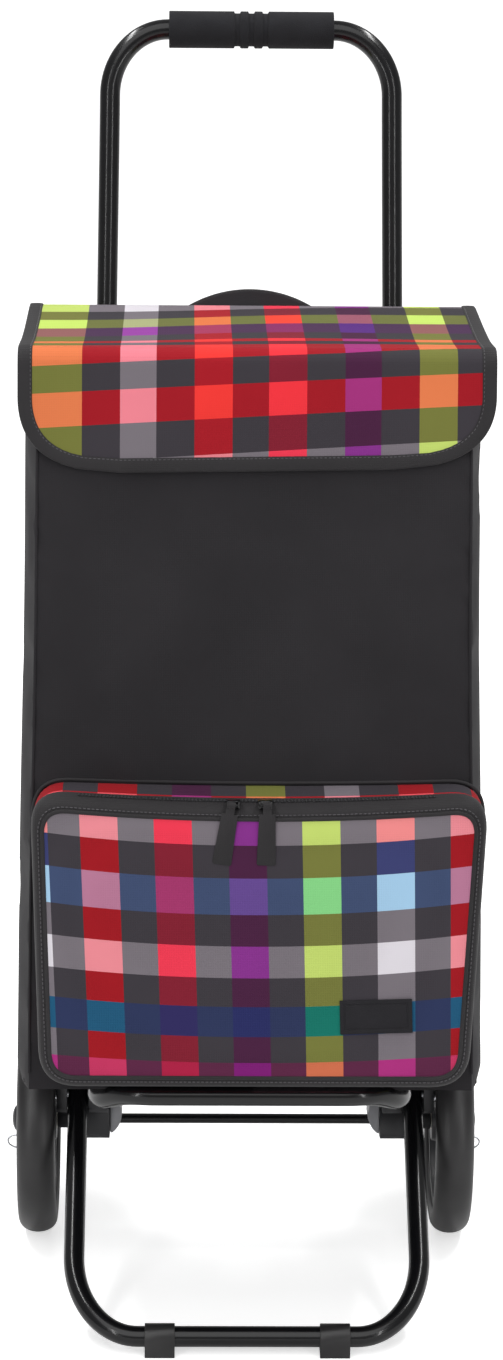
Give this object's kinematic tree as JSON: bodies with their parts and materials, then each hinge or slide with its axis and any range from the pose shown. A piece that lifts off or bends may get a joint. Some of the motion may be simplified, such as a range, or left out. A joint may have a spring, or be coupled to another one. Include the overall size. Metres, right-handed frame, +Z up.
{
  "type": "shopping trolley",
  "caption": "Two-wheeled shopping trolley: bent tube frame with foam grip, folding stand and platform, soft bag with checked lid flap and zipped front pocket.",
  "frame": {"origin": "middle of the base, on the floor", "axes": "+Z up, -Y towards the front of the bag, +X to the right seen from the front"},
  "size_m": [0.3856, 0.468, 0.9703],
  "materials": {
    "black_steel": "gloss powder coat",
    "grip_foam": "matt closed-cell foam",
    "moulded_plastic": "fine moulded grain",
    "grey_plastic": "moulded",
    "tyre_rubber": "matt",
    "wheel_plastic": "moulded",
    "zinc_steel": "bright zinc",
    "bush_plastic": "natural",
    "black_polyester": "plain weave",
    "checked_polyester": "plain weave, many-coloured squares",
    "stiff_board": "matt",
    "black_webbing": "woven tape",
    "label_leather": "embossed border"
  },
  "bodies": {
    "frame_and_bag": {"handle_frame": "black_steel", "foam_grip": "grip_foam", "joint_block_left": "moulded_plastic", "joint_block_right": "moulded_plastic", "axle_shoe_left": "moulded_plastic", "axle_shoe_right": "moulded_plastic", "axle_cheek_left": "grey_plastic", "axle_cheek_right": "grey_plastic", "stand_pin_left": "zinc_steel", "stand_pin_right": "zinc_steel", "platform_pin_left": "zinc_steel", "platform_pin_right": "zinc_steel", "axle_spacer_left": "moulded_plastic", "axle_spacer_right": "moulded_plastic", "axle_cap_left": "moulded_plastic", "axle_cap_right": "moulded_plastic", "wheel_clip_left": "zinc_steel", "wheel_clip_right": "zinc_steel", "leg_strap_lower_left": "black_webbing", "leg_strap_lower_right": "black_webbing", "leg_strap_upper_left": "black_webbing", "leg_strap_upper_right": "black_webbing", "axle_rod": "black_steel", "bag_body": "black_polyester", "base_board": "stiff_board", "hanging_tab": "black_polyester", "fastener_loop": "black_webbing", "front_pocket": "checked_polyester", "zip_tape": "black_webbing", "label_patch": "label_leather"},
    "wheel_left": {"wheel_tyre_left": "tyre_rubber", "wheel_rim_left": "wheel_plastic", "wheel_bush_left": "bush_plastic"},
    "wheel_right": {"wheel_tyre_right": "tyre_rubber", "wheel_rim_right": "wheel_plastic", "wheel_bush_right": "bush_plastic"},
    "stand": {"stand_frame": "black_steel", "stand_foot_left": "tyre_rubber", "stand_foot_right": "tyre_rubber"},
    "platform": {"platform_frame": "black_steel"},
    "flap": {"lid_flap": "checked_polyester", "fastener_hook": "black_webbing"},
    "slider_left": {"zip_slider_left": "zinc_steel"},
    "slider_right": {"zip_slider_right": "zinc_steel"},
    "puller_left": {"zip_puller_left": "black_webbing"},
    "puller_right": {"zip_puller_right": "black_webbing"}
  },
  "joints": [
    {"name": "wheel_left_spin", "type": "hinge", "parent": "frame_and_bag", "child": "wheel_left", "pos_m": [-0.167, 0.06557, 0.092], "axis": [1, 0, 0], "continuous": true},
    {"name": "wheel_right_spin", "type": "hinge", "parent": "frame_and_bag", "child": "wheel_right", "pos_m": [0.167, 0.06557, 0.092], "axis": [1, 0, 0], "continuous": true},
    {"name": "platform_fold", "type": "hinge", "parent": "frame_and_bag", "child": "platform", "pos_m": [0, 0.02766, 0.16856], "axis": [-1, 0, 0], "range_deg": [0, 88], "deforming": ["bag_body", "base_board", "front_pocket"]},
    {"name": "stand_fold", "type": "hinge", "parent": "frame_and_bag", "child": "stand", "pos_m": [0, 0.02192, 0.13195], "axis": [-1, 0, 0], "range_deg": [0, 122]},
    {"name": "flap_open", "type": "hinge", "parent": "frame_and_bag", "child": "flap", "pos_m": [0, 0.15944, 0.74526], "axis": [-1, 0, 0], "range_deg": [0, 80]},
    {"name": "zip_left_slide", "type": "slide", "parent": "frame_and_bag", "child": "slider_left", "axis": [-1, 0, 0], "range_m": [0, 0.11]},
    {"name": "zip_right_slide", "type": "slide", "parent": "frame_and_bag", "child": "slider_right", "axis": [1, 0, 0], "range_m": [0, 0.11]},
    {"name": "puller_left_swing", "type": "hinge", "parent": "slider_left", "child": "puller_left", "pos_m": [-0.0095, -0.1911, 0.45581], "axis": [-1, 0, 0], "range_deg": [0, 100]},
    {"name": "puller_right_swing", "type": "hinge", "parent": "slider_right", "child": "puller_right", "pos_m": [0.0055, -0.1911, 0.45581], "axis": [-1, 0, 0], "range_deg": [0, 100]}
  ],
  "couplings": [
    {"joint": "stand_fold", "follows": "platform_fold", "ratio": 1.3864}
  ]
}
